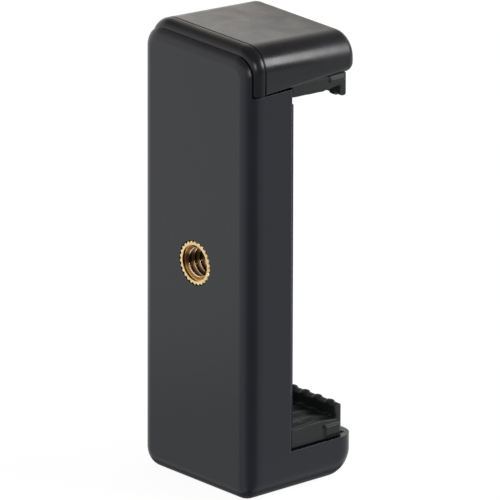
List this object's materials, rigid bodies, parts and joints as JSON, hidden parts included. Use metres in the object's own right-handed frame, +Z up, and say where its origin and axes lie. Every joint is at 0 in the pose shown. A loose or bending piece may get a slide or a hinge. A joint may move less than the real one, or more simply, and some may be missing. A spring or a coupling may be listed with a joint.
{
  "type": "phone clamp mount",
  "caption": "Spring-loaded phone clamp with padded jaws on a telescoping column and a threaded tripod socket in its back.",
  "frame": {"origin": "centre of the bounding box's bottom face, on the surface that the lower jaw stands on", "axes": "+Z up along the column, +Y from the back plate to the open ends of the jaws, X across the width"},
  "size_m": [0.0294, 0.026, 0.0851],
  "materials": {
    "case_plastic": "fine satin moulded, black",
    "brass": "bright turned and knurled",
    "pad_rubber": "ribbed, matte, near black",
    "strip_rubber": "plain, matte, black",
    "pin_steel": "turned",
    "spring_steel": "drawn wire",
    "screw_steel": "dark plated"
  },
  "bodies": {
    "housing": {"rear_housing": "case_plastic", "front_housing": "case_plastic", "thread_insert": "brass", "lower_pad": "pad_rubber", "front_strip": "strip_rubber", "lower_pin_left": "pin_steel", "lower_pin_right": "pin_steel", "spring_left": "spring_steel", "spring_right": "spring_steel", "housing_screw_1": "screw_steel", "housing_screw_2": "screw_steel", "housing_screw_3": "screw_steel", "housing_screw_4": "screw_steel"},
    "moving_jaw": {"slider": "case_plastic", "upper_jaw": "case_plastic", "upper_pad": "pad_rubber", "upper_pin_left": "pin_steel", "upper_pin_right": "pin_steel", "jaw_screw_left": "screw_steel", "jaw_screw_right": "screw_steel"}
  },
  "joints": [
    {"name": "jaw_slide", "type": "slide", "parent": "housing", "child": "moving_jaw", "axis": [0, 0, 1], "range_m": [0, 0.029], "stiffness_N_per_m": 240, "springref_m": -0.02, "deforming": ["spring_left", "spring_right"]}
  ]
}
